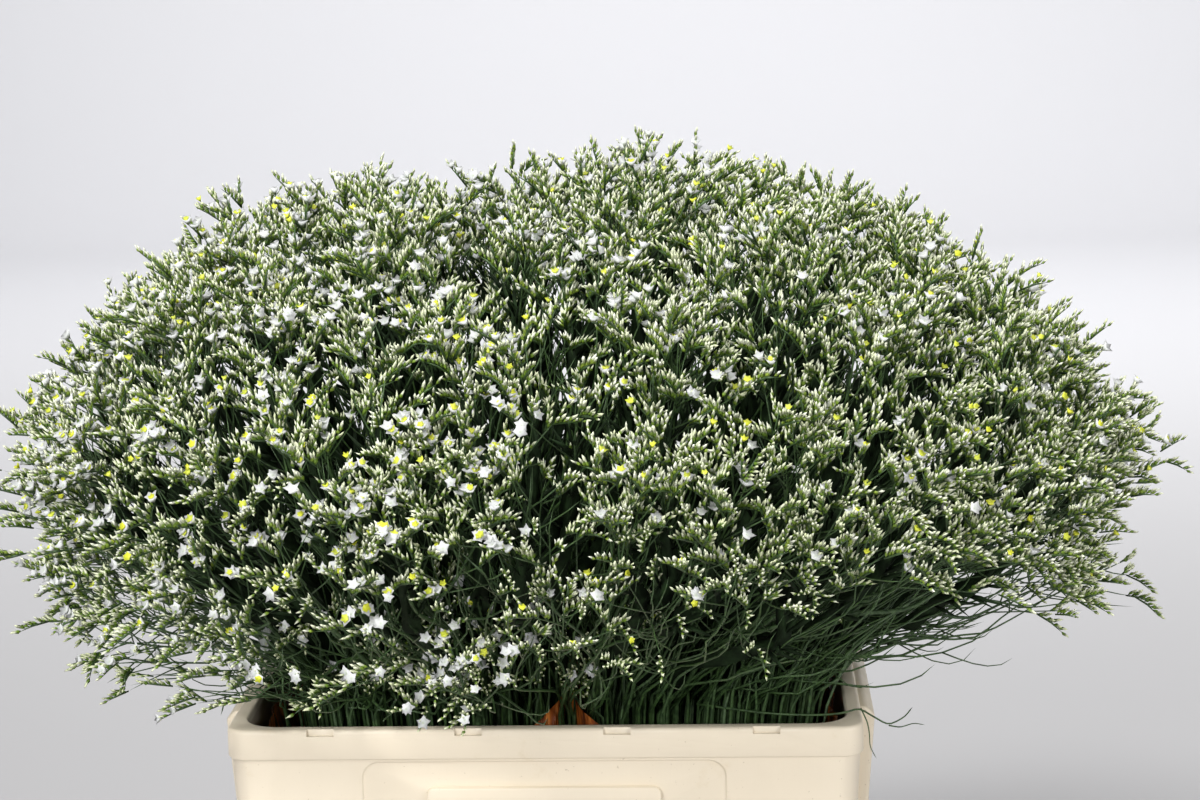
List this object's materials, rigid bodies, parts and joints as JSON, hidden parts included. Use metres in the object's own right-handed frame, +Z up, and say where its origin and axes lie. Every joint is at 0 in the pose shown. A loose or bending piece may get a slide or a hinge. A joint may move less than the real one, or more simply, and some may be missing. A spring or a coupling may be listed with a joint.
{
  "type": "bucket of statice",
  "caption": "Wide domed bunches of statice, forked green stems with white papery flowers, standing in film wraps in a rectangular flower bucket.",
  "frame": {"origin": "centre of the bucket's flat underside", "axes": "+X along the bucket's long side, +Y to the back, +Z up"},
  "size_m": [0.7828, 0.6275, 0.7093],
  "materials": {
    "bucket": "satin",
    "film": "gloss",
    "statice": "matte"
  },
  "bodies": {
    "root": {"bucket": "bucket", "left_stem_01": "statice", "left_stem_02": "statice", "left_stem_03": "statice", "left_stem_04": "statice", "left_stem_05": "statice", "left_stem_06": "statice", "left_stem_07": "statice", "left_stem_08": "statice", "left_stem_09": "statice", "left_stem_10": "statice", "left_stem_11": "statice", "left_stem_12": "statice", "left_stem_13": "statice", "left_stem_14": "statice", "left_stem_15": "statice", "left_stem_16": "statice", "left_stem_17": "statice", "left_stem_18": "statice", "left_stem_19": "statice", "left_stem_20": "statice", "left_stem_21": "statice", "left_stem_22": "statice", "left_stem_23": "statice", "left_wrap": "film", "right_stem_01": "statice", "right_stem_02": "statice", "right_stem_03": "statice", "right_stem_04": "statice", "right_stem_05": "statice", "right_stem_06": "statice", "right_stem_07": "statice", "right_stem_08": "statice", "right_stem_09": "statice", "right_stem_10": "statice", "right_stem_11": "statice", "right_stem_12": "statice", "right_stem_13": "statice", "right_stem_14": "statice", "right_stem_15": "statice", "right_stem_16": "statice", "right_stem_17": "statice", "right_stem_18": "statice", "right_stem_19": "statice", "right_wrap": "film"}
  },
  "joints": []
}
